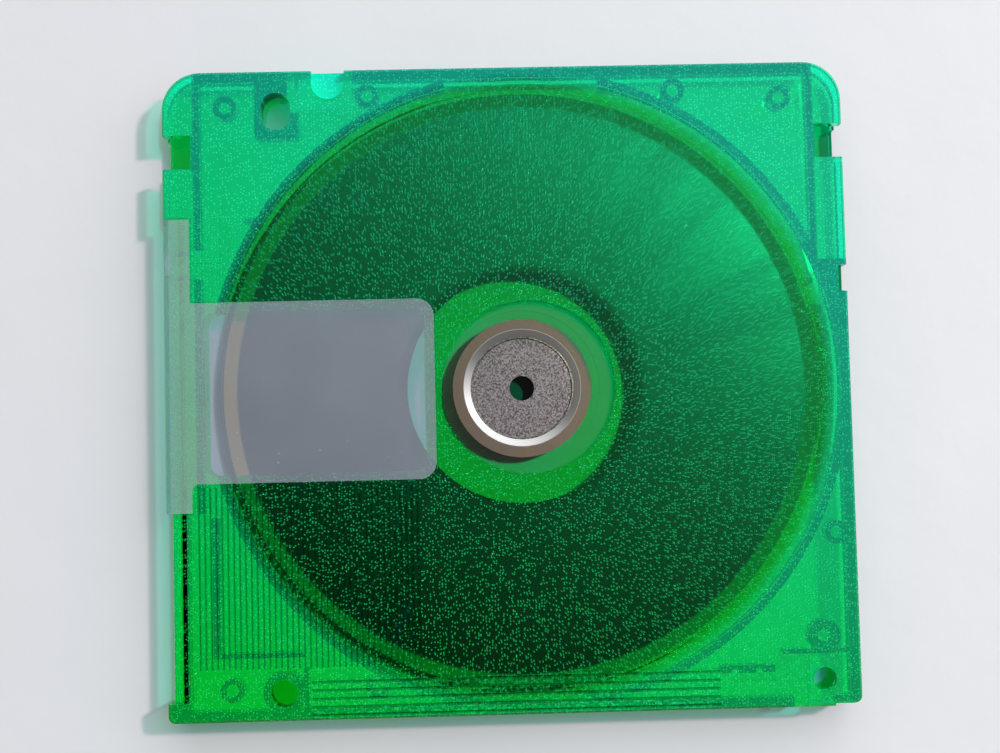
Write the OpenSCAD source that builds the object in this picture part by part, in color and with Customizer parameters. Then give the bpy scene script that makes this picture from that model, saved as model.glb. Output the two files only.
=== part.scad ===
// Recordable disc cartridge, lying label side down with its hub side up.
// X runs across it, +Y points at the leading edge that enters the drive, +Z is up.
// The origin is under the middle of the cartridge, on the surface it lies on.

/* [Cartridge] */
// Width of the cartridge beside the disc, at each side
side_room = 4; // [3.8:0.1:8]
// Depth of the cartridge beyond the disc, at each end
end_room = 2; // [1.9:0.1:6]
// Thickness over both faces
case_t = 5; // [4.8:0.1:6]
// Radius of the two leading corners
lead_r = 4; // [2:0.1:5]
// Radius of the two trailing corners
trail_r = 0.7; // [0.4:0.1:1.5]
// Thickness of the outer walls
wall_t = 1; // [0.7:0.05:1.2]
// Thickness of each face panel
panel_t = 1; // [0.8:0.05:1.1]
// Bevel along the outside edges
edge_c = 0.25; // [0.1:0.05:0.4]
// How far the right end of the trailing edge is set back
setback = 0.3; // [0.1:0.05:0.5]
// Width of the end that is set back
setback_w = 2.8; // [2.5:0.1:3]

/* [Disc] */
// Diameter of the disc
disc_d = 64; // [60:0.5:64]
// Thickness of the clear disc
disc_t = 1.2; // [0.8:0.1:1.3]
// Diameter of the disc's centre hole
disc_hole_d = 11; // [8:0.5:12]
// Width of the chamfer round the hole on the hub side
hole_c_w = 0.7; // [0.3:0.05:0.8]
// Depth of that chamfer
hole_c_h = 0.4; // [0.2:0.05:0.6]
// Wall of the raised ring round the plate's seat
hub_ring_w = 0.82; // [0.5:0.02:1.2]
// Height of the raised ring
hub_ring_h = 0.5; // [0.4:0.05:0.6]
// How far the disc lies off the middle of its chamber
disc_shift = -0.6; // [-0.8:0.1:0.8]
// Gap between the raised ring and the panel under it
disc_gap = 0.3; // [0.1:0.05:0.4]

/* [Recording film] */
// Clear rim of the disc outside the film
film_rim = 0.3; // [0.2:0.1:2]
// Inner diameter of the film
film_inner_d = 24.4; // [20:0.2:30]
// Thickness of the film with its lacquer
film_t = 0.08; // [0.05:0.01:0.12]

/* [Clamping plate] */
// How far the steel plate reaches past the disc's centre hole
plate_lap = 1.88; // [1.2:0.02:2.2]
// Thickness of the plate's metal
plate_t = 0.3; // [0.2:0.05:0.35]
// Depth of the sunk middle
plate_dish_h = 0.12; // [0.05:0.01:0.15]
// Diameter of the plate's centre hole
plate_hole_d = 2.66; // [2:0.02:4]
// Play between the plate and its seat
plate_play = 0.1; // [0.05:0.05:0.2]

/* [Chamber] */
// Wall left between the chamber and the right side
rim_wall = 0.9; // [0.7:0.05:1.2]
// Gap between the disc's rim and the chamber wall
chamber_gap = 1.1; // [0.9:0.1:1.2]
// Thickness of the chamber wall
chamber_t = 0.8; // [0.5:0.1:1]
// Width over which the chamber wall runs into the front wall
front_w = 16.4; // [12:0.2:20]
// Depth of that shared stretch
front_d = 2; // [1:0.1:2.5]
// Diameter of the spindle window
spindle_d = 18.2; // [17:0.1:19]
// Width of the collar round the spindle window
collar_w = 1; // [0.5:0.1:1.2]
// Height of the collar inside the shell
collar_h = 0.3; // [0.1:0.05:0.5]

/* [Access window] */
// Distance from the left side to the access window
access_inset = 4; // [3.9:0.1:5]
// Strip left between the access window and the spindle window
bridge_w = 1.8; // [1.5:0.1:3]
// Width of the access window along the shutter's travel
access_h = 17.1; // [14:0.1:17.5]
// Corner radius of the access window
access_r = 1.2; // [0.5:0.1:2]
// Width of the gap in the chamber wall inside the window
access_gap = 8; // [4:0.5:12]

/* [Shutter] */
// Reach of the shutter's channel ahead of the recess
channel_reach = 8.85; // [8.5:0.05:9]
// Distance from the trailing edge to the end of the channel
channel_stop = 2; // [1.5:0.1:3]
// Distance from the access window to the recess's leading edge
recess_rim = 1.1; // [0.9:0.05:1.5]
// Depth of the recess in each face
recess_h = 0.5; // [0.45:0.05:0.6]
// Width of the channel for the shutter's spine
channel_w = 2.9; // [2.7:0.1:3]
// Thickness of the shutter's plates
shutter_t = 0.35; // [0.25:0.05:0.4]
// Thickness of the shutter's spine
spine_t = 0.45; // [0.3:0.05:0.5]
// Length of the spine along the cartridge's side
spine_l = 30.8; // [28:0.1:32]
// Reach of the shutter's plates past the access window
shutter_lap = 1.1; // [0.5:0.05:1.4]
// Overlap of the plates over the window's trailing edge
trail_lap = 0.85; // [0.5:0.05:1]
// Corner radius of the plates
shutter_r = 1.8; // [0.5:0.1:2.5]
// Fillet between the plates and the leg along the spine
fillet_r = 0.8; // [0.3:0.1:1]
// Gap between the shutter and the shells
slide_gap = 0.1; // [0.05:0.05:0.15]
// Gap between the plates' far edge and the recess
far_gap = 0.3; // [0.1:0.1:0.5]

/* [Recess flutes] */
// Distance between neighbouring flutes in the floor of the recess
flute_pitch = 0.6; // [0.5:0.05:1]
// Depth of each flute
flute_depth = 0.1; // [0.05:0.01:0.15]
// Plain border left round the flutes
flute_border = 0.4; // [0.3:0.1:1]

/* [Shutter catch] */
// Distance from the spine's leading end to the catch pocket
pocket_inset = 3.2; // [3:0.1:4]
// Length of the catch pocket over its two walls
pocket_l = 2.9; // [2.8:0.1:3.2]
// Thickness of the pocket's walls
pocket_t = 0.35; // [0.2:0.05:0.4]
// Reach of the pocket's walls into the side groove
pocket_reach = 2.2; // [1.5:0.1:2.3]
// Length of the thick guide inside the spine
guide_l = 15.5; // [10:0.5:18]
// Reach of the thick guide into the side groove
guide_reach = 0.75; // [0.4:0.05:0.8]
// Distance from the left side to the keeper ribs
keeper_x = 1.75; // [1.7:0.05:1.9]
// Thickness of the keeper ribs
keeper_t = 0.3; // [0.2:0.05:0.4]
// Height of the keeper ribs
keeper_h = 0.35; // [0.25:0.05:0.4]

/* [Side grooves] */
// Height of the groove in each side face
groove_h = 1.8; // [1.6:0.05:2]
// Depth of the left groove ahead of the shutter's end
groove_d = 3; // [2.8:0.1:3]
// Depth of the shallow groove that the guide slides into
shallow_d = 1.4; // [1.35:0.05:1.5]
// Thickness of the wall behind the grooves
groove_wall = 0.8; // [0.5:0.1:0.9]
// Depth of the right groove
right_groove_d = 2.8; // [2:0.1:3]
// Length of the right groove from the leading edge
right_groove_l = 21; // [19:0.5:23]
// Distance from the leading edge to the gripper notches
notch_inset = 6.7; // [6.5:0.1:7]
// Length of the gripper notches
notch_l = 3.6; // [3:0.1:4]
// How far the label side shell stands back in the notches
notch_step = 0.3; // [0.2:0.05:1]
// Length of the slope behind the right groove
ramp_l = 3.7; // [3.5:0.1:4.5]
// Cut corner of the slope
ramp_c = 0.8; // [0.5:0.1:1]
// Length of the small notch in the hub side of the right edge
side_notch_l = 2.8; // [2:0.1:3.5]
// Distance of the small notch from the right groove
side_notch_gap = 0.8; // [0.5:0.1:1]
// Depth of the small notch
side_notch_d = 0.9; // [0.5:0.1:0.9]

/* [Locating holes] */
// Distance of both locating holes' row from the left side
locate_x = 11.95; // [11.5:0.05:12.5]
// Distance of the round hole from the trailing edge
locate_y = 2.8; // [2.7:0.1:3.2]
// Diameter of the round locating hole
locate_d = 2.9; // [2.4:0.05:3]
// Distance of the long hole's middle from the leading edge
slot_y = 4.3; // [4.2:0.1:4.5]
// Width of the long locating hole
slot_w = 3.1; // [2.6:0.05:3.2]
// Length of the long locating hole
slot_l = 4; // [3.8:0.1:4.4]
// Thickness of the walls round both holes
locate_wall = 0.8; // [0.5:0.1:0.9]
// Distance of the brace rib from the round hole's middle
brace_x = 2; // [1.8:0.1:2.5]
// Reach of the brace rib past the round hole's middle
brace_reach = 2.4; // [1.5:0.1:3]
// Distance of the L-shaped wall from the left side
l_wall_x = 4.6; // [4.4:0.1:5]
// Length of the L-shaped wall
l_wall_l = 14.6; // [12:0.1:15]

/* [Leading edge pocket] */
// Distance of the pocket from the left side
scoop_x = 17.5; // [17.2:0.1:18]
// Width of the pocket
scoop_w = 3.5; // [2.5:0.1:4]
// Depth of the pocket from the leading edge
scoop_d = 3.1; // [2:0.1:3.3]
// How far the pocket is sunk into the face
scoop_h = 1.3; // [0.5:0.1:1.4]

/* [Grip ribs] */
// Width of the ribbed field at the trailing edge
grip_w = 42.4; // [30:0.2:44]
// Distance between neighbouring grooves
grip_pitch = 0.85; // [0.7:0.05:1]
// Number of grooves
grip_n = 5; // [3:1:5]
// Depth of each groove
grip_depth = 0.2; // [0.05:0.05:0.3]
// Distance of the last groove from the trailing edge
grip_y = 0.45; // [0.4:0.05:0.6]

/* [Write-protect tab] */
// Distance of the detection hole from the right side
detect_x = 3.85; // [3.7:0.05:4]
// Distance of the detection hole from the trailing edge
detect_y = 2.85; // [2.8:0.05:3]
// Diameter of the detection hole
detect_d = 2.4; // [2:0.05:2.4]
// Travel of the tab
tab_travel = 2.6; // [2.5:0.05:2.7]
// Depth of the tab's space inside the trailing wall
tab_room = 4.4; // [4.2:0.1:4.6]
// Length of the tab's guide rib beside the corner boss
tab_guide_l = 4.4; // [3:0.1:4.6]
// Thickness of the tab
tab_t = 2.4; // [1.5:0.1:2.4]
// Width of the tab's cover along its travel
cover_w = 3.45; // [3:0.05:3.5]
// Distance of the tab's finger grip from the cover's end
finger_inset = 0.25; // [0.1:0.05:0.5]
// Width of the finger grip
finger_w = 1.5; // [1:0.1:1.5]
// Gap between the tab and what guides it
tab_gap = 0.3; // [0.1:0.05:0.3]
// Length of the tab's springy arm
arm_l = 4.85; // [4.5:0.05:5]
// Distance of the springy arm from the trailing wall
arm_inset = 1.6; // [1.2:0.1:1.8]
// Thickness of the springy arm
arm_t = 0.5; // [0.3:0.05:0.6]
// Radius of the bump on the arm
bump_r = 0.35; // [0.2:0.05:0.4]
// Gap between the bump and the detent rib
bump_gap = 0.1; // [0.05:0.05:0.2]
// Thickness of the detent rib
detent_t = 0.8; // [0.6:0.05:0.9]
// Length of the detent rib
detent_l = 5.7; // [5.5:0.1:6]

/* [Lock lever] */
// Distance of the lever's post from the left side
post_x = 6.5; // [6.4:0.1:6.8]
// Distance of the lever's post from the leading edge
post_y = 8.4; // [8.2:0.1:8.6]
// Radius of the post
post_r = 0.75; // [0.5:0.05:0.9]
// Running clearance round the post
post_clear = 0.05; // [0.02:0.01:0.08]
// Wall of the lever's eye
eye_wall = 0.7; // [0.4:0.05:0.8]
// Height of the lever's eye
eye_h = 2.4; // [1.8:0.1:2.6]
// Thickness of the lever's arm
lever_t = 1.4; // [1:0.1:1.5]
// Width of the lever's arm
lever_w = 0.9; // [0.6:0.05:1]
// How far the arm stands off the post's middle
lever_offset = 0.4; // [0.3:0.05:0.5]
// Width of the hook along the cartridge's side
hook_w = 1.35; // [1.1:0.05:1.4]
// Thickness of the lever's spring finger
finger_t = 0.35; // [0.25:0.05:0.4]
// Length of the spring finger below the post
finger_l = 7.6; // [7:0.1:7.8]
// Thickness of the spring finger's root
finger_root_t = 0.5; // [0.3:0.05:0.6]
// Distance of the finger's stop from the post's middle
stop_reach = 1.9; // [1.8:0.05:2.1]
// Length of the finger's stop
stop_l = 1.6; // [1:0.1:2]

/* [Shell bosses] */
// Distance of the corner bosses from the sides
boss_x = 6.5; // [6.3:0.1:7]
// Distance of the corner bosses from the leading edge
boss_lead_y = 3.65; // [3.4:0.05:4]
// Distance of the trailing bosses from the trailing edge
boss_trail_y = 3.1; // [2.9:0.1:3.4]
// Distance of the inner left bosses from the left side
boss_left_x = 21.6; // [21.4:0.1:22]
// Distance of the inner right boss from the right side
boss_right_x = 17.8; // [16:0.1:19]
// Distance of the inner leading bosses from the leading edge
boss_front_y = 2.65; // [2.5:0.05:3]
// Distance of the side boss from the right side
side_boss_x = 1.9; // [1.8:0.1:2.2]
// Distance of the side boss from the trailing edge
side_boss_y = 18; // [17:0.1:19]
// Distance of the corner boss from the right side
corner_boss_x = 3.6; // [3.4:0.1:3.8]
// Distance of the corner boss from the trailing edge
corner_boss_y = 7.2; // [7:0.1:7.6]
// Outer radius of the corner boss
corner_boss_r = 1.7; // [1.3:0.1:1.8]
// Outer radius of the joining bosses
boss_r = 1.25; // [0.9:0.05:1.3]
// Radius of the pins on the label side shell
pin_r = 0.6; // [0.4:0.05:0.7]
// Length of the pins above the parting plane
pin_l = 1.1; // [0.8:0.1:1.1]
// Clearance round the pins
pin_clear = 0.05; // [0.02:0.01:0.1]
// Thickness of the plain inner ribs
rib_t = 0.5; // [0.3:0.05:0.7]

/* [Label field] */
// Width of the sunk field for a label
label_w = 38; // [30:0.5:39]
// Distance of the sunk field from the leading edge
label_lead = 5; // [3:0.5:8]
// Distance of the sunk field from the trailing edge
label_trail = 9; // [6:0.5:12]
// Depth of the sunk field
label_h = 0.12; // [0.05:0.01:0.2]
// Distance of the sunk field from the right side
label_x = 2.5; // [2:0.1:3]
// Corner radius of the sunk field
label_r = 1; // [0.5:0.1:2]

/* [Hidden] */
$fn = 96;

// Overshoot of cutting shapes past the faces that they cut
over = 0.2;
case_w = disc_d + 2 * side_room;
case_d = disc_d + 2 * end_room;
left = -case_w / 2;
right = case_w / 2;
lead = case_d / 2;
trail = -case_d / 2;
split_z = case_t / 2;
roof_z = case_t - panel_t;

chamber_r = disc_d / 2 + chamber_gap;
ring_r = chamber_r + chamber_t;
chamber_x = right - rim_wall - chamber_r;
disc_x = chamber_x + disc_shift;
disc_z = panel_t + disc_gap + hub_ring_h;
plate_z = disc_z - plate_t - plate_play;
plate_d = disc_hole_d + 2 * plate_lap;
plate_dish_d = disc_hole_d - 2 * plate_play;
plate_seat_d = plate_d + 2 * plate_play;
hub_ring_d = plate_seat_d + 2 * hub_ring_w;
film_outer_d = disc_d - 2 * film_rim;

access_left = left + access_inset;
access_right = chamber_x - spindle_d / 2 - bridge_w;

recess_lead = access_h / 2 + recess_rim;
channel_lead = recess_lead + channel_reach;
channel_trail = trail + channel_stop;
channel_right = left + channel_w;
rail_x = left + slide_gap + spine_t + slide_gap;
spine_x = left + slide_gap / 2;
spine_lead = channel_lead - slide_gap;
spine_trail = spine_lead - spine_l;
travel = spine_trail - channel_trail - slide_gap;
plate_lead = recess_lead - slide_gap;
plate_trail = -access_h / 2 - trail_lap;
plate_right = access_right + shutter_lap;
recess_trail = plate_trail - travel - slide_gap;
recess_right = plate_right + far_gap;
leg_right = channel_right - 2 * slide_gap;
deep_trail = spine_trail - slide_gap;
groove_top = split_z + groove_h / 2;
pocket_lead = spine_lead - pocket_inset;
pocket_trail = pocket_lead - pocket_l;
inner_h = groove_h - 2 * slide_gap;
spine_inner = spine_x + spine_t;

left_wall_x = left + groove_d;
lever_side = left_wall_x + groove_wall;
right_groove_x = right - right_groove_d;
right_wall_x = right_groove_x - groove_wall;
right_groove_y = lead - right_groove_l;
notch_lead = lead - notch_inset;
notch_trail = notch_lead - notch_l;
side_notch_lead = right_groove_y - side_notch_gap;

locate = [left + locate_x, trail + locate_y];
slot = [left + locate_x, lead - slot_y];
detect = [right - detect_x, trail + detect_y];
post = [left + post_x, lead - post_y];
eye_r = post_r + post_clear + eye_wall;

cover_right = detect[0] - detect_d / 2 - slide_gap;
cover_left = cover_right - cover_w;
tab_floor = trail + wall_t;
guide_y = tab_floor + tab_room;
detent_x = cover_left - tab_gap;
arm_y = tab_floor + arm_inset;
bump_x = cover_left - arm_l + bump_r;
detent_y = arm_y + arm_t + bump_r + bump_gap;
window_right = right - setback_w;
finger_x = cover_right - finger_inset - finger_w;
window_left = finger_x - slide_gap;

hook_y = pocket_trail + pocket_t;
lever_x = post[0] - lever_offset;
hook_tip = left_wall_x + slide_gap;
stop_x = post[0] + stop_reach;
stop_y = post[1] - finger_l;
root_y = post[1] - eye_r + (eye_wall - finger_root_t) / 2;

// Where the two shells are joined
bosses = [[left + boss_x, lead - boss_lead_y], [right - boss_x, lead - boss_lead_y],
          [left + boss_left_x, lead - boss_front_y], [right - boss_right_x, lead - boss_front_y],
          [left + boss_x, trail + boss_trail_y], [left + boss_left_x, trail + boss_trail_y],
          [right - side_boss_x, trail + side_boss_y]];
corner_boss = [right - corner_boss_x, trail + corner_boss_y];

shell_colour = [0.05, 0.62, 0.33, 0.6];
clear_colour = [0.86, 0.9, 0.88, 0.45];

// A rectangle with round corners, from its lower left to its upper right corner
module round_rect(low, high, r) {
    translate([low[0] + r, low[1]]) square([high[0] - low[0] - 2 * r, high[1] - low[1]]);
    translate([low[0], low[1] + r]) square([high[0] - low[0], high[1] - low[1] - 2 * r]);
    for (x = [low[0] + r, high[0] - r], y = [low[1] + r, high[1] - r])
        translate([x, y]) circle(r);
}

// A plain rectangle between two corners
module rect(low, high) {
    translate(low) square([high[0] - low[0], high[1] - low[1]]);
}

// A block between two corners
module block(low, high) {
    translate(low) cube([high[0] - low[0], high[1] - low[1], high[2] - low[2]]);
}

// What a round corner takes off, for a corner at the given place and quadrant
module corner_waste(at, r, quadrant) {
    translate(at) rotate(90 * quadrant) difference() {
        translate([-r, -r]) square(r + over);
        translate([-r, -r]) circle(r);
    }
}

// What fills an inner corner with a fillet, to the lower right of the given place
module corner_fill(at, r) {
    difference() {
        translate([at[0] - over, at[1] - r]) square([r + over, r + over]);
        translate([at[0] + r, at[1] - r]) circle(r);
    }
}

// Outline of the cartridge, seen from above
module case_outline() {
    difference() {
        rect([left, trail], [right, lead]);
        corner_waste([right, lead], lead_r, 0);
        corner_waste([left, lead], lead_r, 1);
        corner_waste([left, trail], trail_r, 2);
        rect([window_right, trail - over], [right + over, trail + setback]);
        corner_waste([right, trail + setback], trail_r, 3);
    }
}

// Wedge that bevels one straight top edge along X
module bevel_wedge(l) {
    rotate([90, 0, 90]) linear_extrude(l)
        polygon([[-edge_c, over], [-edge_c, 0], [0, -edge_c], [over, -edge_c], [over, over]]);
}

// Ring piece that bevels one round top corner
module bevel_corner(r) {
    rotate_extrude(angle = 90)
        polygon([[r - edge_c, over], [r - edge_c, 0], [r, -edge_c],
                 [r + over, -edge_c], [r + over, over]]);
}

// All that the bevels take off the upper face
module face_bevels() {
    translate([0, 0, case_t]) {
        translate([left + lead_r, lead, 0]) bevel_wedge(case_w - 2 * lead_r);
        translate([right - trail_r, trail, 0]) rotate(180) bevel_wedge(case_w - 2 * trail_r);
        translate([right, lead - lead_r, 0]) rotate(-90) bevel_wedge(case_d - lead_r - trail_r - setback);
        translate([left, trail + trail_r, 0]) rotate(90) bevel_wedge(case_d - lead_r - trail_r);
        translate([right - lead_r, lead - lead_r, 0]) bevel_corner(lead_r);
        translate([left + lead_r, lead - lead_r, 0]) rotate(90) bevel_corner(lead_r);
        translate([left + trail_r, trail + trail_r, 0]) rotate(180) bevel_corner(trail_r);
        translate([right - trail_r, trail + setback + trail_r, 0]) rotate(-90) bevel_corner(trail_r);
    }
}

// Outer wall of one shell, with the thick sides that hold the grooves
module outer_walls() {
    difference() {
        case_outline();
        rect([left + wall_t, trail + wall_t], [right - wall_t, lead - wall_t]);
        rect([window_left, trail - over], [window_right, trail + wall_t + over]);
    }
    rect([left, deep_trail], [lever_side, lead]);
    rect([left, trail], [left + shallow_d + groove_wall, deep_trail + rib_t]);
    rect([right_wall_x, right_groove_y], [right, lead]);
    polygon([[right_wall_x, right_groove_y], [right, right_groove_y],
             [right, right_groove_y - ramp_l], [right - wall_t, right_groove_y - ramp_l],
             [right_wall_x + ramp_c, right_groove_y - ramp_c]]);
}

// Ribs, bosses and chamber wall of one shell, seen from above
module inner_walls() {
    difference() {
        translate([chamber_x, 0]) circle(ring_r);
        rect([chamber_x - front_w / 2, lead - wall_t - front_d], [chamber_x + front_w / 2, lead]);
    }
    for (b = bosses) translate(b) circle(boss_r);
    translate(corner_boss) circle(corner_boss_r);
    rect([corner_boss[0] - tab_guide_l, guide_y], [right - wall_t, guide_y + rib_t]);
    translate(locate) circle(locate_d / 2 + locate_wall);
    rect([locate[0] + brace_x, trail + wall_t],
         [locate[0] + brace_x + rib_t, locate[1] + brace_reach]);
    rect([left + l_wall_x, deep_trail - l_wall_l], [left + l_wall_x + locate_wall, deep_trail - rib_t]);
    rect([left + l_wall_x, deep_trail - l_wall_l - rib_t], [locate[0] + brace_x, deep_trail - l_wall_l]);
    round_rect([slot[0] - slot_w / 2 - locate_wall, slot[1] - slot_l / 2 - locate_wall],
               [slot[0] + slot_w / 2 + locate_wall, lead - wall_t + rib_t], rib_t);
    rect([stop_x, stop_y], [stop_x + stop_l, stop_y + rib_t]);
    difference() {
        rect([detent_x - detent_l, detent_y], [detent_x, detent_y + detent_t]);
        for (x = [bump_x, bump_x + tab_travel])
            translate([x, detent_y]) circle(bump_r + bump_gap);
    }
}

// Plan of every wall that stands between the two panels
module wall_plan() {
    difference() {
        intersection() {
            case_outline();
            union() {
                outer_walls();
                inner_walls();
            }
        }
        translate([chamber_x, 0]) circle(chamber_r);
        rect([lever_side + over, -access_gap / 2], [0, access_gap / 2]);
    }
}

// Half of the empty case, from the parting plane up to the outer face
module half_case() {
    difference() {
        union() {
            translate([0, 0, roof_z]) linear_extrude(panel_t) case_outline();
            translate([0, 0, split_z]) linear_extrude(roof_z - split_z + over) wall_plan();
        }
        face_bevels();
        shutter_cuts();
        side_cuts();
        translate([0, 0, split_z - over]) linear_extrude(case_t) {
            translate(detect) circle(detect_d / 2);
            long_hole();
            round_rect([access_left, -access_h / 2], [access_right, access_h / 2], access_r);
        }
    }
}

// The long locating hole, seen from above
module long_hole() {
    reach = (slot_l - slot_w) / 2;
    rect([slot[0] - slot_w / 2, slot[1] - reach], [slot[0] + slot_w / 2, slot[1] + reach]);
    for (side = [-1, 1]) translate([slot[0], slot[1] + side * reach]) circle(slot_w / 2);
}

// Channel, recess and keeper groove for the shutter
module shutter_cuts() {
    floor_z = case_t - recess_h;
    block([left - over, channel_trail, split_z - over], [rail_x, channel_lead, case_t + over]);
    block([left, channel_trail, floor_z], [channel_right, channel_lead, case_t + over]);
    translate([0, 0, floor_z]) linear_extrude(recess_h + over) {
        round_rect([left, recess_trail], [recess_right, recess_lead], shutter_r + slide_gap);
        corner_fill([channel_right, recess_trail], fillet_r);
    }
    block([left + keeper_x - keeper_t, channel_trail, floor_z - keeper_h + slide_gap],
          [left + keeper_x + keeper_t, channel_lead, floor_z + over]);
}

// Grooves and notches in the two side faces
module side_cuts() {
    block([left - over, deep_trail, split_z - over], [left_wall_x, lead + over, groove_top]);
    block([left - over, channel_trail, split_z - over], [left + shallow_d, deep_trail + over, groove_top]);
    block([right_groove_x, right_groove_y, split_z - over], [right + over, lead + over, groove_top]);
    block([left_wall_x - over, pocket_trail - slide_gap, split_z - over],
          [lever_side + over, pocket_lead + slide_gap, split_z + lever_t / 2 + slide_gap]);
}

// Hub side half of the case, the upper one here
module hub_side_shell() color(shell_colour) {
    difference() {
        union() {
            half_case();
            translate([scoop_center_x(), lead - scoop_d / 2 - wall_t / 2, (split_z + roof_z) / 2])
                cube([scoop_w + 2 * rib_t, scoop_d, roof_z - split_z], center = true);
            translate([chamber_x, 0, roof_z - collar_h])
                cylinder(h = collar_h + over, r = spindle_d / 2 + collar_w);
        }
        translate([chamber_x, 0, split_z]) cylinder(h = case_t, d = spindle_d);
        translate([locate[0], locate[1], split_z - over]) cylinder(h = case_t, d = locate_d);
        scoop();
        for (side = [[left, left_wall_x], [right_groove_x, right]])
            block([side[0] - over, notch_trail, split_z - over],
                  [side[1] + (side[0] < 0 ? 0 : over), notch_lead, case_t + over]);
        block([right - side_notch_d, side_notch_lead - side_notch_l, split_z - over],
              [right + over, side_notch_lead, case_t + over]);
        for (b = concat(bosses, [corner_boss]))
            translate([b[0], b[1], split_z - over]) cylinder(h = pin_l + 2 * over, r = pin_r + pin_clear);
        grip_grooves();
        recess_flutes();
    }
}

function scoop_center_x() = left + scoop_x;

// Pocket in the leading edge with a half-round end
module scoop() {
    r = scoop_w / 2;
    translate([0, 0, case_t - scoop_h]) linear_extrude(scoop_h + over) {
        rect([scoop_center_x() - r, lead - scoop_d + r], [scoop_center_x() + r, lead + over]);
        translate([scoop_center_x(), lead - scoop_d + r]) circle(r);
    }
}

// A groove with a sharp bottom along X, that starts at the origin and is cut down from there
module v_groove(l, depth) {
    side = (depth + over) * sqrt(2);
    translate([0, 0, -depth]) rotate([45, 0, 0]) cube([l, side, side]);
}

// Grooves of the ribbed finger grip
module grip_grooves() {
    for (i = [0 : grip_n - 1])
        translate([-grip_w / 2, trail + grip_y + i * grip_pitch, case_t]) v_groove(grip_w, grip_depth);
}

// Fine flutes in the part of the recess that the closed shutter leaves open
module recess_flutes() {
    low = recess_trail + flute_border;
    high = plate_trail - flute_border;
    for (x = [channel_right + flute_border : flute_pitch : plate_right - shutter_r])
        translate([x, low, case_t - recess_h]) rotate(90) v_groove(high - low, flute_depth);
}

// Label side half of the case, the lower one here
module label_side_shell() color(shell_colour) {
    difference() {
        union() {
            translate([0, 0, case_t]) mirror([0, 0, 1]) half_case();
            for (b = concat(bosses, [corner_boss]))
                translate([b[0], b[1], split_z - over]) cylinder(h = pin_l + over, r = pin_r);
            translate([post[0], post[1], panel_t - over])
                cylinder(h = roof_z - panel_t, r = post_r);
        }
        for (side = [[left - over, left + notch_step], [right - notch_step, right + over]])
            block([side[0], notch_trail, -over], [side[1], notch_lead, split_z + over]);
        translate([0, 0, -over]) linear_extrude(label_h + over)
            round_rect([right - label_x - label_w, trail + label_trail],
                       [right - label_x, lead - label_lead], label_r);
    }
}

// Clear moulded disc with its centre hole and raised ring
module disc_substrate() color(clear_colour) {
    translate([disc_x, 0, 0]) difference() {
        union() {
            translate([0, 0, disc_z]) cylinder(h = disc_t, d = disc_d, $fn = 180);
            translate([0, 0, disc_z - hub_ring_h]) cylinder(h = hub_ring_h + over, d = hub_ring_d);
        }
        translate([0, 0, disc_z - hub_ring_h - over])
            cylinder(h = hub_ring_h + over - plate_play, d = plate_seat_d);
        cylinder(h = case_t, d = disc_hole_d);
        translate([0, 0, disc_z + disc_t - hole_c_h])
            cylinder(h = hole_c_h + over, r1 = disc_hole_d / 2,
                     r2 = disc_hole_d / 2 + hole_c_w * (1 + over / hole_c_h));
    }
}

// Thin recording layer on the label side of the disc
module recording_film() color([0.2, 0.16, 0.3]) {
    translate([disc_x, 0, disc_z - film_t]) difference() {
        cylinder(h = film_t, d = film_outer_d, $fn = 180);
        translate([0, 0, -over]) cylinder(h = film_t + 2 * over, d = film_inner_d);
    }
}

// Pressed steel plate that the drive's magnet holds
module clamping_plate() color("silver") {
    translate([disc_x, 0, plate_z]) rotate_extrude() polygon([
        [plate_hole_d / 2, -plate_dish_h], [plate_dish_d / 2, -plate_dish_h],
        [plate_dish_d / 2 + plate_dish_h, 0], [plate_d / 2, 0], [plate_d / 2, plate_t],
        [plate_dish_d / 2, plate_t], [plate_dish_d / 2 - plate_dish_h, plate_t - plate_dish_h],
        [plate_hole_d / 2, plate_t - plate_dish_h]]);
}

// One face of the shutter: the plate and the leg along the spine
module shutter_face() {
    translate([0, 0, case_t - slide_gap / 2 - shutter_t]) linear_extrude(shutter_t) {
        rect([spine_x, spine_trail], [leg_right, spine_lead]);
        round_rect([spine_x, plate_trail], [plate_right, plate_lead], shutter_r);
        corner_fill([leg_right, plate_trail], fillet_r);
    }
    keeper_z = case_t - slide_gap / 2 - shutter_t - keeper_h + slide_gap;
    block([left + keeper_x - keeper_t / 2, spine_trail + slide_gap, keeper_z],
          [left + keeper_x + keeper_t / 2, spine_lead - slide_gap, case_t - slide_gap]);
}

// U-shaped sliding shutter with its spine in the side channel
module shutter() color(clear_colour) {
    difference() {
        union() {
            shutter_face();
            translate([0, 0, case_t]) mirror([0, 0, 1]) shutter_face();
            block([spine_x, spine_trail, slide_gap / 2], [spine_inner, spine_lead, case_t - slide_gap / 2]);
            for (y = [pocket_lead - pocket_t, pocket_trail])
                block([spine_x, y, split_z - inner_h / 2],
                      [spine_inner + pocket_reach, y + pocket_t, split_z + inner_h / 2]);
            block([spine_x, spine_trail, split_z - inner_h / 2],
                  [spine_inner + guide_reach, spine_trail + guide_l, split_z + inner_h / 2]);
        }
        block([left - over, pocket_trail + pocket_t, split_z - inner_h / 2],
              [spine_inner + over, pocket_lead - pocket_t, split_z + inner_h / 2]);
    }
}

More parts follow.
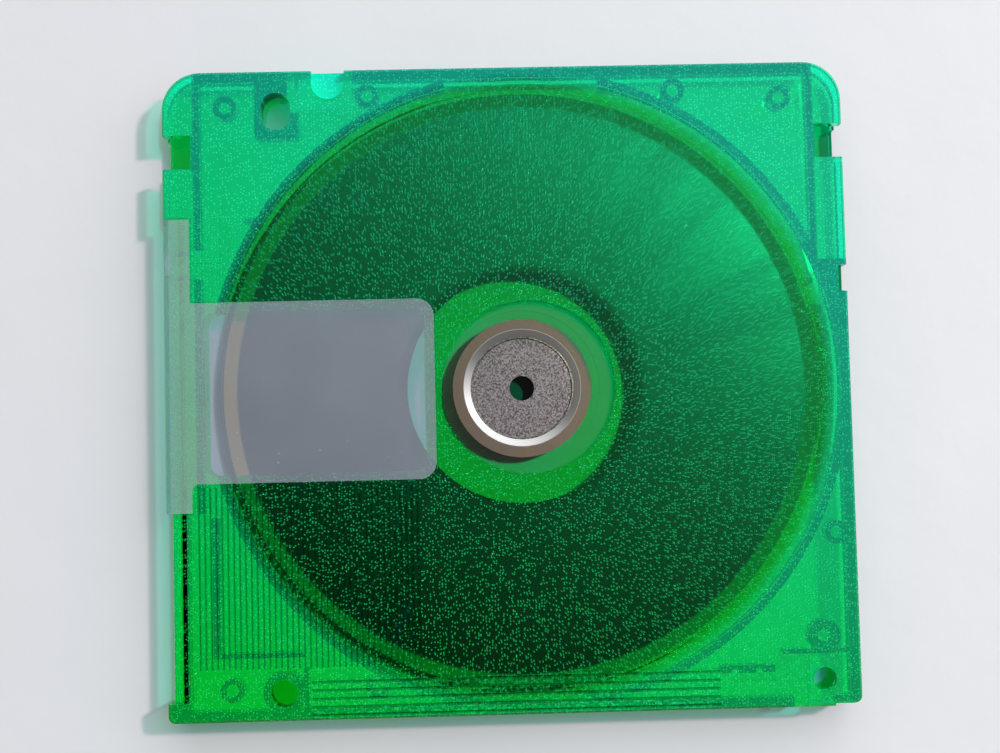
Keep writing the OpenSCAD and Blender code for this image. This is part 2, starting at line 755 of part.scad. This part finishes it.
// Lever that hooks into the shutter's pocket and holds it shut
module lock_lever() color([0.1, 0.5, 0.3]) {
    difference() {
        union() {
            translate([post[0], post[1], split_z - eye_h / 2]) cylinder(h = eye_h, r = eye_r);
            translate([0, 0, split_z - lever_t / 2]) linear_extrude(lever_t) {
                rect([lever_x - lever_w / 2, hook_y], [lever_x + lever_w / 2, post[1]]);
                rect([hook_tip, hook_y], [lever_x, hook_y + hook_w]);
                rect([stop_x - slide_gap - finger_t, stop_y],
                     [stop_x - slide_gap, root_y + finger_root_t]);
                rect([post[0], root_y], [stop_x - slide_gap, root_y + finger_root_t]);
            }
        }
        translate([post[0], post[1], 0]) cylinder(h = case_t, r = post_r + post_clear);
    }
}

// Sliding tab that opens or covers the detection hole
module write_protect_tab() color([0.1, 0.55, 0.3]) {
    translate([0, 0, split_z - tab_t / 2]) linear_extrude(tab_t) {
        rect([cover_left, tab_floor + tab_gap], [cover_right, guide_y - tab_gap]);
        rect([finger_x, trail + slide_gap], [finger_x + finger_w, tab_floor + tab_gap + over]);
        rect([cover_left - arm_l, arm_y], [cover_left + over, arm_y + arm_t]);
        translate([bump_x, arm_y + arm_t]) circle(bump_r);
    }
}

hub_side_shell();
label_side_shell();
disc_substrate();
recording_film();
clamping_plate();
shutter();
lock_lever();
write_protect_tab();
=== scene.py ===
"""Looks of a translucent recordable disc cartridge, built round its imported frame."""
import math

import bpy
from mathutils import Matrix, Vector

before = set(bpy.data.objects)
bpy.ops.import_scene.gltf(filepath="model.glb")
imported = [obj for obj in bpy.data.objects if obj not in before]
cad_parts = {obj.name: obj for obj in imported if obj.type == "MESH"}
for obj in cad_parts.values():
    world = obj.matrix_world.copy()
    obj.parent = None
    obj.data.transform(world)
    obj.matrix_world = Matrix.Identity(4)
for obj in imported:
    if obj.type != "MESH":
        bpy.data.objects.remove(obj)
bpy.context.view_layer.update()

MM = 0.001

# Camera, worked out from the outline's four corners in the 1000 x 753 photograph
PHOTO_W = 1000
FOCAL_PX = 1500
SENSOR_W = 36
TILT_X = math.radians(-3.23)
TILT_Y = math.radians(1.26)
ROLL_Z = math.radians(1.31)
SHIFT_X = 1.0 * MM
SHIFT_Y = -1.1 * MM
HEIGHT = 157.2 * MM
NEAR_CLIP = 0.01

# Direction of the sunlight, from the length and side of the shadow in the photograph
SUN = Vector((3.7, 1.75, 5.0)).normalized()
SUN_FAR = 0.9
SUN_SIZE = 0.07
SUN_POWER = 4.0
SUN_COLOUR = (1, 0.98, 0.94)

# Light from round about, brightest from a window up and to the right
WINDOW = (0.485, 0.728, 0.417)
WINDOW_FROM = 0.31
WINDOW_TO = 0.92
WINDOW_GLOW = 1.6
ZENITH_GLOW = 0.05
HORIZON_GLOW = 0.45
HORIZON_POWER = 1.5
SKY = (0.93, 0.96, 1.0)
BACKDROP = (0.9, 0.91, 0.94)
BACKDROP_GLOW = 0.9

# Bounces enough for the light paths through the clear layers
CLEAR_BOUNCES = 9
DIFFUSE_BOUNCES = 1
GLOSSY_BOUNCES = 3
SHADOW_LAYERS = 12

# The floor is a plane just under the cartridge
FLOOR_SIZE = 3
FLOOR_DROP = 0.03
FLOOR_ROUGH = 0.6
FLOOR_DARK = (0.78, 0.79, 0.83)
FLOOR_LIGHT = (0.84, 0.84, 0.86)

# All other lengths are in millimetres: first the middle of the disc and its radii
DISC_X = 1.4
PLATE_FLANGE_R = 5.9
HOLE_R = 5.45
CHAMFER_R = 6.25
CHAMFER_Z = 2.55
RIM_R = 30.3
BAND_R = 13.4
BAND_SOFT = 1.2

# Heights in the case, and how far out the faces of its outline lie
FACE_Z = 5
ROOF = 0.6
SOLE = 0.1
ABOVE_PARTING_Z = 2.4
OUTLINE_X = 35.2
OUTLINE_Y = 33.2
UPRIGHT = 0.5
FROST_R = 31.8
FROST_SOFT = 1.5

# Places on the shells, as the low and the high corner
POCKET = ((-23, 30), (-16, 34.5))
GRIP_FIELD = ((-21.2, -33.8), (21.2, -29.8))
GROOVE = 0.03
RECESS = ((-33.0, -28.7), (-9.5, -9.7))
FLUTE_PITCH = 0.6
FLUTE_START = 32.7
HUB_SHADE_R = 1.3
HUB_SHADE_SOFT = 0.2
HUB_SHADE_Z = (0.4, 0.6)

# Direction across the faces in which the colours turn from deep to pale: painted light and
# shade on the green plastic, painted reflection on the film
RISE_X = 0.35
RISE_Y = 0.94
TEAL_FROM = 26
GREEN_FROM = -38
FILM_RISE = 26

# Green plastic, with its optical depths for one millimetre
GREEN_IOR = 1.22
GREEN_DEPTH = (2.0, 0.02, 0.25)
GREEN_ROUGH = 0.15
CLEAR_HAZE = 0.015
POCKET_HAZE = 0.5
# Painted light and shade: teal where the light falls, deep green where it falls away
TEAL_PAINTED_LIGHT = (0.003, 1.0, 0.7)
GREEN_PAINTED_SHADE = (0.002, 0.95, 0.12)
# Painted glints of the frosted face, with real dust among them
GLINT_AND_DUST_COLOUR = (0.1, 1.0, 0.4)
# Painted shade in the flutes of the recess
FLUTE_PAINTED_SHADE = (0.0, 0.4, 0.15)
# Painted shade in the bottoms of the grip's grooves
GROOVE_PAINTED_SHADE = (0.0, 0.42, 0.12)
# Painted shade for the spot seen through the steel plate's hole
HUB_SHADE = (0.01, 0.03, 0.03)
FACE_SHADE = (0.95, 0.99, 0.975)
EDGE_SHADE = (0.35, 0.42, 0.4)

# Shutter, with fine lines across its length
SHUTTER_IOR = 1.35
SHUTTER_DEPTH = (0.05, 0.02, 0.03)
SHUTTER_COLOUR = (0.8, 0.87, 1.0)
SHUTTER_SHADE = (0.96, 0.97, 0.97)
SHUTTER_MILK = 0.12
LINE_PITCH = 0.22

# Clear disc, with steel showing in the slope round its hole
DISC_IOR = 1.4
DISC_DEPTH = (0.01, 0.02, 0.06)
DISC_SHADE = (0.97, 0.97, 0.95)
DISC_WARM = (0.98, 0.97, 0.93)
DISC_COOL = (0.95, 0.96, 0.94)
SLOPE_SOFT = 0.02
SLOPE_STEEL = 0.85
SLOPE_ROUGH = 0.3
SLOPE_PALE = (0.75, 0.72, 0.7)
SLOPE_DARK = (0.55, 0.52, 0.5)
RING_PITCH = 0.16

# Film, with a painted reflection that turns it pale across its face, a painted brown
# reflection at its rim and a blue streak of painted glint near the recess
FILM_ROUGH = 0.25
FILM_DEEP = (0.11, 0.12, 0.2)
FILM_PAINTED_REFLECTION = (1.0, 1.0, 1.0)
FILM_RIM_PAINTED_REFLECTION = (0.6, 0.4, 0.17)
FILM_BAND = (0.4, 0.3, 0.24)
STREAK_PAINTED_GLINT = (0.05, 0.2, 1.0)

# Steel plate
PLATE_DARK = (0.12, 0.1, 0.105)
PLATE_PALE = (0.42, 0.37, 0.38)
PLATE_FLANGE = (0.5, 0.41, 0.38)


def node_tree(name):
    """A new material with an empty node tree and its output node."""
    m = bpy.data.materials.new(name)
    m.use_nodes = True
    nt = m.node_tree
    nt.nodes.clear()
    out = nt.nodes.new("ShaderNodeOutputMaterial")
    return m, nt, out


def add(nt, kind, **values):
    """A node with the given attributes or input values."""
    n = nt.nodes.new(kind)
    for key, value in values.items():
        if hasattr(n, key) and key not in n.inputs:
            setattr(n, key, value)
        else:
            n.inputs[key].default_value = value
    return n


def feed(nt, socket, value):
    """Puts a plain number, a colour or another node's output into a socket."""
    if isinstance(value, bpy.types.NodeSocket):
        nt.links.new(value, socket)
    elif isinstance(value, tuple) and len(value) == 3 and len(socket.default_value) == 4:
        socket.default_value = value + (1,)
    else:
        socket.default_value = value


def principled(nt, **values):
    """A Principled shader, with each value fed to the socket of its name."""
    p = add(nt, "ShaderNodeBsdfPrincipled")
    for key, value in values.items():
        feed(nt, p.inputs[key.replace("_", " ")], value)
    return p


def math_node(nt, op, a, b=None, clamp=False):
    """A Math node on sockets or plain numbers, giving its output socket."""
    n = nt.nodes.new("ShaderNodeMath")
    n.operation = op
    n.use_clamp = clamp
    for i, v in enumerate((a, b)):
        if v is not None:
            feed(nt, n.inputs[i], v)
    return n.outputs[0]


def times(nt, *values):
    """The product of sockets and plain numbers."""
    result = values[0]
    for v in values[1:]:
        result = math_node(nt, "MULTIPLY", result, v)
    return result


def plus(nt, *values):
    """The sum of sockets and plain numbers."""
    result = values[0]
    for v in values[1:]:
        result = math_node(nt, "ADD", result, v)
    return result


def less(nt, *values):
    """The first value less the second, not under 0."""
    return math_node(nt, "SUBTRACT", *values, clamp=True)


def greatest(nt, *values):
    """The greatest of sockets."""
    result = values[0]
    for v in values[1:]:
        result = math_node(nt, "MAXIMUM", result, v)
    return result


def over(nt, value, limit):
    """1 where the value is over the limit."""
    return math_node(nt, "GREATER_THAN", value, limit)


def under(nt, value, limit):
    """1 where the value is under the limit."""
    return math_node(nt, "LESS_THAN", value, limit)


def size_of(nt, value):
    """The value without its sign."""
    return math_node(nt, "ABSOLUTE", value)


def ramp(nt, value, start, end):
    """0 below start, 1 above end and straight between them; end may be the lower one."""
    slope = 1 / (end - start)
    return math_node(nt, "ADD", times(nt, value, slope), -start * slope, clamp=True)


def blend_colour(nt, amount, first, second):
    """The first colour where amount is 0, the second where it is 1."""
    n = nt.nodes.new("ShaderNodeMixRGB")
    feed(nt, n.inputs["Fac"], amount)
    feed(nt, n.inputs["Color1"], first)
    feed(nt, n.inputs["Color2"], second)
    return n.outputs[0]


def split(nt, vector):
    """The three parts of a vector."""
    part = add(nt, "ShaderNodeSeparateXYZ")
    nt.links.new(vector, part.inputs[0])
    return part.outputs


def object_coords(nt):
    """Object coordinates and their three parts, in metres."""
    co = add(nt, "ShaderNodeTexCoord").outputs["Object"]
    return co, split(nt, co)


def disc_radius(nt, xyz):
    """Distance from the disc's axis."""
    x = times(nt, plus(nt, xyz[0], -DISC_X * MM), 1 / MM)
    y = times(nt, xyz[1], 1 / MM)
    return math_node(nt, "SQRT", plus(nt, times(nt, x, x), times(nt, y, y)))


def painted_light_across(nt, xyz):
    """How far a point lies in the direction in which the painted light turns the colours pale.
    """
    return plus(nt, times(nt, xyz[0], RISE_X / MM), times(nt, xyz[1], RISE_Y / MM))


def box_mask(nt, xyz, box, soft=0.1):
    """1 inside a box of X and Y, 0 outside, with soft edges."""
    sides = []
    for axis, (low, high) in enumerate(zip(*box)):
        v = times(nt, xyz[axis], 1 / MM)
        sides.append(ramp(nt, v, low - soft / 2, low + soft / 2))
        sides.append(ramp(nt, v, high + soft / 2, high - soft / 2))
    return times(nt, *sides)


def noise(nt, co, scale, detail=2.0, rough=0.5):
    """Noise of the given scale per metre."""
    n = add(nt, "ShaderNodeTexNoise", Scale=scale, Detail=detail, Roughness=rough)
    nt.links.new(co, n.inputs["Vector"])
    return n.outputs["Fac"]


def wave(nt, kind, value, pitch):
    """A SINE or COSINE wave of the given pitch along a value in the same unit."""
    return math_node(nt, kind, times(nt, value, 2 * math.pi / pitch))


def dots(nt, co, scale, radius, share):
    """Round dots of a radius, in a share of the cells of a pattern."""
    v = add(nt, "ShaderNodeTexVoronoi", voronoi_dimensions="2D", Scale=scale)
    nt.links.new(co, v.inputs["Vector"])
    reach = radius * MM * scale
    near = ramp(nt, v.outputs["Distance"], reach, reach * 0.6)
    part = add(nt, "ShaderNodeSeparateColor")
    nt.links.new(v.outputs["Color"], part.inputs[0])
    return times(nt, near, under(nt, part.outputs[0], share))


def edge_mask(nt, xyz):
    """1 on the upright faces of the cartridge's outline, 0 elsewhere."""
    normal = split(nt, add(nt, "ShaderNodeNewGeometry").outputs["Normal"])
    upright = under(nt, size_of(nt, normal[2]), UPRIGHT)
    far_x = over(nt, size_of(nt, xyz[0]), OUTLINE_X * MM)
    far_y = over(nt, size_of(nt, xyz[1]), OUTLINE_Y * MM)
    return times(nt, upright, greatest(nt, far_x, far_y))


def mix_shaders(nt, amount, first, second):
    """The first shader where amount is 0, the second where it is 1."""
    mix = add(nt, "ShaderNodeMixShader")
    nt.links.new(amount, mix.inputs["Fac"])
    nt.links.new(first, mix.inputs[1])
    nt.links.new(second, mix.inputs[2])
    return mix.outputs[0]


def lets_lamps_through(nt, out, shader, tint):
    """Sends the shader out, with lamps passing straight through to what lies behind."""
    shadow_ray = add(nt, "ShaderNodeLightPath").outputs["Is Shadow Ray"]
    clear = add(nt, "ShaderNodeBsdfTransparent")
    feed(nt, clear.inputs["Color"], tint)
    nt.links.new(mix_shaders(nt, shadow_ray, shader, clear.outputs[0]), out.inputs["Surface"])


def absorption(nt, out, depth):
    """Colours light by how far it goes inside, from optical depths for one millimetre."""
    most = max(depth)
    v = add(nt, "ShaderNodeVolumeAbsorption")
    v.inputs["Color"].default_value = tuple(1 - d / most for d in depth) + (1,)
    v.inputs["Density"].default_value = most / MM
    nt.links.new(v.outputs[0], out.inputs["Volume"])


def bump(nt, shader, height, strength, distance):
    """Relief on a shader, of a distance in millimetres."""
    b = add(nt, "ShaderNodeBump", Strength=strength, Distance=distance * MM)
    nt.links.new(height, b.inputs["Height"])
    nt.links.new(b.outputs[0], shader.inputs["Normal"])


def green_plastic(name, glint_and_dust=0.0, haze=0.0, grip=False):
    """Translucent green moulding, softly frosted, with painted light and shade across its
    faces; on the hub face painted glints with dust and painted shade in its flutes and
    grooves, elsewhere painted shade under the plate's hole.
    """
    m, nt, out = node_tree(name)
    co, xyz = object_coords(nt)
    p = principled(nt, IOR=GREEN_IOR)
    # Painted light and shade: teal towards the light, deeper green away from it
    tint = blend_colour(nt, ramp(nt, painted_light_across(nt, xyz), TEAL_FROM, GREEN_FROM), TEAL_PAINTED_LIGHT, GREEN_PAINTED_SHADE)

    # Only the faces that show outside are frosted; those within are as clear as glass
    edge = edge_mask(nt, xyz)
    high = over(nt, xyz[2], (FACE_Z - ROOF) * MM)
    low = under(nt, xyz[2], SOLE * MM)
    pocket = times(nt, box_mask(nt, xyz, POCKET), over(nt, xyz[2], ABOVE_PARTING_Z * MM))
    skin = greatest(nt, edge, pocket, high, low)
    frost = ramp(nt, disc_radius(nt, xyz), FROST_R, FROST_R + FROST_SOFT)
    pocket_haze = times(nt, less(nt, pocket, high), POCKET_HAZE)
    hazes = plus(nt, times(nt, frost, haze), pocket_haze, CLEAR_HAZE)
    through = math_node(nt, "SUBTRACT", 1, times(nt, hazes, skin))

    # Painted glints of the frosted face in the fine dots, real dust in the sparse ones
    if glint_and_dust:
        rough = plus(nt, times(nt, noise(nt, co, 70, 1.0), 0.15), 0.14)
        grain_and_glints = dots(nt, co, 3300, 0.085, 0.5)
        dust = dots(nt, co, 420, 0.07, 0.1)
        glints_and_dust = greatest(nt, times(nt, grain_and_glints, 0.3), times(nt, dust, 0.9))
        tint = blend_colour(nt, glints_and_dust, tint, GLINT_AND_DUST_COLOUR)
        through = less(nt, through, times(nt, glints_and_dust, glint_and_dust))
    else:
        rough = add(nt, "ShaderNodeValue").outputs[0]
        rough.default_value = GREEN_ROUGH

    if grip:
        field = box_mask(nt, xyz, GRIP_FIELD)
        coarse = times(nt, ramp(nt, noise(nt, co, 2600, 0.0), 0.5, 0.7), field)
        bump(nt, p, coarse, 0.4, 0.01)
        through = less(nt, through, times(nt, coarse, 0.2))
        recess = box_mask(nt, xyz, RECESS)
        rough = plus(nt, rough, times(nt, recess, -0.1))
        # Painted shade in the flutes of the recess
        flutes = wave(nt, "COSINE", plus(nt, xyz[0], FLUTE_START * MM), FLUTE_PITCH * MM)
        flutes = times(nt, ramp(nt, flutes, 0.1, 0.9), recess)
        tint = blend_colour(nt, times(nt, flutes, 0.8), tint, FLUTE_PAINTED_SHADE)
        # Painted shade in the bottoms of the grip's grooves
        groove = times(nt, field, under(nt, xyz[2], (FACE_Z - GROOVE) * MM))
        tint = blend_colour(nt, times(nt, groove, 0.7), tint, GROOVE_PAINTED_SHADE)
    else:
        # Painted shade: the spot seen through the steel plate's hole lies in the dark, so it
        # is coloured dark
        spot = ramp(nt, disc_radius(nt, xyz), HUB_SHADE_R + HUB_SHADE_SOFT, HUB_SHADE_R)
        inside = ramp(nt, xyz[2], HUB_SHADE_Z[0] * MM, HUB_SHADE_Z[1] * MM)
        tint = blend_colour(nt, times(nt, spot, inside), tint, HUB_SHADE)

    feed(nt, p.inputs["Base Color"], tint)
    feed(nt, p.inputs["Transmission Weight"], through)
    feed(nt, p.inputs["Roughness"], times(nt, rough, skin))
    shade = blend_colour(nt, edge, FACE_SHADE, EDGE_SHADE)
    lets_lamps_through(nt, out, p.outputs[0], shade)
    absorption(nt, out, GREEN_DEPTH)
    return m


def shutter_plastic():
    """Clear moulding, faintly milky, with fine lines and wear."""
    m, nt, out = node_tree("clear_shutter")
    co, xyz = object_coords(nt)
    lines = wave(nt, "SINE", xyz[1], LINE_PITCH * MM)
    cloud = noise(nt, co, 150, 4.0)
    scratch = times(nt, dots(nt, co, 700, 0.05, 0.06), 0.5)
    milk = plus(nt, times(nt, lines, 0.006), times(nt, cloud, 0.05), SHUTTER_MILK, scratch)
    p = principled(nt, Base_Color=SHUTTER_COLOUR, IOR=SHUTTER_IOR,
                   Transmission_Weight=less(nt, 1, milk),
                   Roughness=plus(nt, times(nt, cloud, 0.1), 0.03))
    bump(nt, p, plus(nt, times(nt, lines, 0.5), noise(nt, co, 900, 2.0)), 0.2, 0.004)
    lets_lamps_through(nt, out, p.outputs[0], SHUTTER_SHADE)
    absorption(nt, out, SHUTTER_DEPTH)
    return m


def disc_plastic():
    """Clear disc, with the bright moulded slope round its centre hole."""
    m, nt, out = node_tree("clear_disc")
    co, xyz = object_coords(nt)
    p = principled(nt, IOR=DISC_IOR, Transmission_Weight=1, Roughness=0,
                   Base_Color=blend_colour(nt, noise(nt, co, 80), DISC_WARM, DISC_COOL))
    r = disc_radius(nt, xyz)
    rings = ramp(nt, wave(nt, "SINE", r, RING_PITCH), -0.2, 0.9)
    steel = principled(nt, Metallic=1, Roughness=SLOPE_ROUGH,
                       Base_Color=blend_colour(nt, rings, SLOPE_PALE, SLOPE_DARK))
    slope = times(nt, ramp(nt, r, HOLE_R - SLOPE_SOFT, HOLE_R + SLOPE_SOFT),
                  ramp(nt, r, CHAMFER_R + SLOPE_SOFT, CHAMFER_R - SLOPE_SOFT),
                  over(nt, times(nt, xyz[2], 1 / MM), CHAMFER_Z), SLOPE_STEEL)
    shader = mix_shaders(nt, slope, p.outputs[0], steel.outputs[0])
    lets_lamps_through(nt, out, shader, DISC_SHADE)
    absorption(nt, out, DISC_DEPTH)
    return m


def film_material():
    """Dark recording layer that mirrors the light, with a painted reflection that turns it
    pale across its face and a painted brown reflection at its edges.
    """
    m, nt, out = node_tree("film_mirror")
    xyz = object_coords(nt)[1]
    r = disc_radius(nt, xyz)
    # Painted reflection: pale towards the light, dark away from it
    rise = ramp(nt, painted_light_across(nt, xyz), -FILM_RISE, FILM_RISE)
    tone = blend_colour(nt, rise, FILM_DEEP, FILM_PAINTED_REFLECTION)
    # Painted brown reflection round the rim, where the film is no longer metallic
    tone = blend_colour(nt, ramp(nt, r, RIM_R - 0.15, RIM_R + 0.1), tone, FILM_RIM_PAINTED_REFLECTION)
    tone = blend_colour(nt, ramp(nt, r, BAND_R, BAND_R - BAND_SOFT), tone, FILM_BAND)

    # A short slanted streak of painted blue glint: how far off its line, then where it begins
    # and ends
    off = plus(nt, times(nt, xyz[0], 0.92 / MM), times(nt, xyz[1], -0.4 / MM), 1.05)
    along = times(nt, xyz[1], 1 / MM)
    glow = times(nt, ramp(nt, size_of(nt, off), 0.5, 0.05), ramp(nt, along, -28, -25),
                 ramp(nt, along, -20.5, -23), 0.8)
    p = principled(nt, Base_Color=blend_colour(nt, glow, tone, STREAK_PAINTED_GLINT),
                   Metallic=ramp(nt, r, RIM_R + 0.1, RIM_R - 0.15), Roughness=FILM_ROUGH)
    nt.links.new(p.outputs[0], out.inputs["Surface"])
    return m


def plate_material():
    """Satin steel, grained in the middle and warm under the disc's clear edge."""
    m, nt, out = node_tree("plate_steel")
    co, xyz = object_coords(nt)
    grain_and_glints = noise(nt, co, 5500, 1.0, 0.7)
    steel = blend_colour(nt, ramp(nt, grain_and_glints, 0.35, 0.65), PLATE_DARK, PLATE_PALE)
    flange = ramp(nt, disc_radius(nt, xyz), PLATE_FLANGE_R - 0.1, PLATE_FLANGE_R + 0.1)
    p = principled(nt, Metallic=1, Base_Color=blend_colour(nt, flange, steel, PLATE_FLANGE),
                   Roughness=plus(nt, times(nt, grain_and_glints, 0.2), 0.35))
    bump(nt, p, grain_and_glints, 0.5, 0.02)
    nt.links.new(p.outputs[0], out.inputs["Surface"])
    return m


def floor_material():
    """White painted board, faintly uneven."""
    m, nt, out = node_tree("pale_floor")
    co = object_coords(nt)[0]
    patches = blend_colour(nt, noise(nt, co, 30, 4.0), FLOOR_DARK, FLOOR_LIGHT)
    p = principled(nt, Base_Color=patches, Roughness=FLOOR_ROUGH)
    relief = plus(nt, noise(nt, co, 60, 5.0), times(nt, noise(nt, co, 900, 2.0), 0.06))
    bump(nt, p, relief, 0.35, 0.6)
    nt.links.new(p.outputs[0], out.inputs["Surface"])
    return m


def dress(node, material):
    """Gives a CAD node's object one material."""
    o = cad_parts[node]
    o.data.materials.clear()
    o.data.materials.append(material)


def add_floor():
    """A plain board that the cartridge lies on."""
    bpy.ops.mesh.primitive_plane_add(size=FLOOR_SIZE, location=(0, 0, -FLOOR_DROP * MM))
    floor = bpy.context.active_object
    floor.name = "floor"
    floor.data.materials.append(floor_material())


def add_sun():
    """A small lamp far away, which stands for the sun."""
    lamp = bpy.data.lights.new("sun", "AREA")
    lamp.shape = "DISK"
    lamp.size = SUN_SIZE
    lamp.energy = SUN_POWER
    lamp.color = SUN_COLOUR
    o = bpy.data.objects.new("sun", lamp)
    bpy.context.scene.collection.objects.link(o)
    o.location = SUN * SUN_FAR
    o.rotation_euler = (-SUN).to_track_quat("-Z", "Y").to_euler()


def add_world():
    """Soft light from round about, dark overhead, with a pale backdrop for the camera."""
    world = bpy.data.worlds.new("studio")
    bpy.context.scene.world = world
    world.use_nodes = True
    nt = world.node_tree
    bg = nt.nodes["Background"]
    way = add(nt, "ShaderNodeTexCoord").outputs["Generated"]
    dot = nt.nodes.new("ShaderNodeVectorMath")
    dot.operation = "DOT_PRODUCT"
    nt.links.new(way, dot.inputs[0])
    dot.inputs[1].default_value = WINDOW
    window = ramp(nt, dot.outputs["Value"], WINDOW_FROM, WINDOW_TO)
    low = math_node(nt, "POWER", ramp(nt, split(nt, way)[2], 1, 0), HORIZON_POWER)
    glow = plus(nt, times(nt, window, WINDOW_GLOW), times(nt, low, HORIZON_GLOW), ZENITH_GLOW)
    seen = add(nt, "ShaderNodeLightPath").outputs["Is Camera Ray"]
    unseen = math_node(nt, "SUBTRACT", 1, seen)
    strength = plus(nt, times(nt, glow, unseen), times(nt, seen, BACKDROP_GLOW))
    nt.links.new(blend_colour(nt, seen, SKY, BACKDROP), bg.inputs["Color"])
    nt.links.new(strength, bg.inputs["Strength"])


def add_camera():
    """The camera at the photograph's place and angle."""
    turn = (Matrix.Rotation(ROLL_Z, 3, "Z") @ Matrix.Rotation(TILT_Y, 3, "Y")
            @ Matrix.Rotation(TILT_X, 3, "X"))
    shift = Vector((SHIFT_X, SHIFT_Y, -HEIGHT))
    cam = bpy.data.cameras.new("camera")
    cam.sensor_width = SENSOR_W
    cam.lens = FOCAL_PX * SENSOR_W / PHOTO_W
    cam.clip_start = NEAR_CLIP
    o = bpy.data.objects.new("camera", cam)
    bpy.context.scene.collection.objects.link(o)
    place = Vector((0, 0, FACE_Z * MM)) - turn.transposed() @ shift
    o.matrix_world = Matrix.Translation(place) @ turn.transposed().to_4x4()
    bpy.context.scene.camera = o


def limit_bounces():
    """Keeps the light paths short, but long enough for the clear layers."""
    cycles = bpy.context.scene.cycles
    cycles.max_bounces = CLEAR_BOUNCES
    cycles.diffuse_bounces = DIFFUSE_BOUNCES
    cycles.glossy_bounces = GLOSSY_BOUNCES
    cycles.transmission_bounces = CLEAR_BOUNCES
    cycles.transparent_max_bounces = SHADOW_LAYERS
    cycles.caustics_reflective = False
    cycles.caustics_refractive = False


add_camera()
add_floor()
add_world()
add_sun()
limit_bounces()

parts = green_plastic("green_parts", haze=0.12)
dress("hub_side_shell", green_plastic("green_shell", glint_and_dust=1.0, haze=0.27, grip=True))
dress("label_side_shell", green_plastic("green_label_shell", haze=0.08))
dress("lock_lever", parts)
dress("write_protect_tab", parts)
dress("shutter", shutter_plastic())
dress("disc_substrate", disc_plastic())
dress("recording_film", film_material())
dress("clamping_plate", plate_material())

bpy.context.scene.view_settings.view_transform = "Standard"
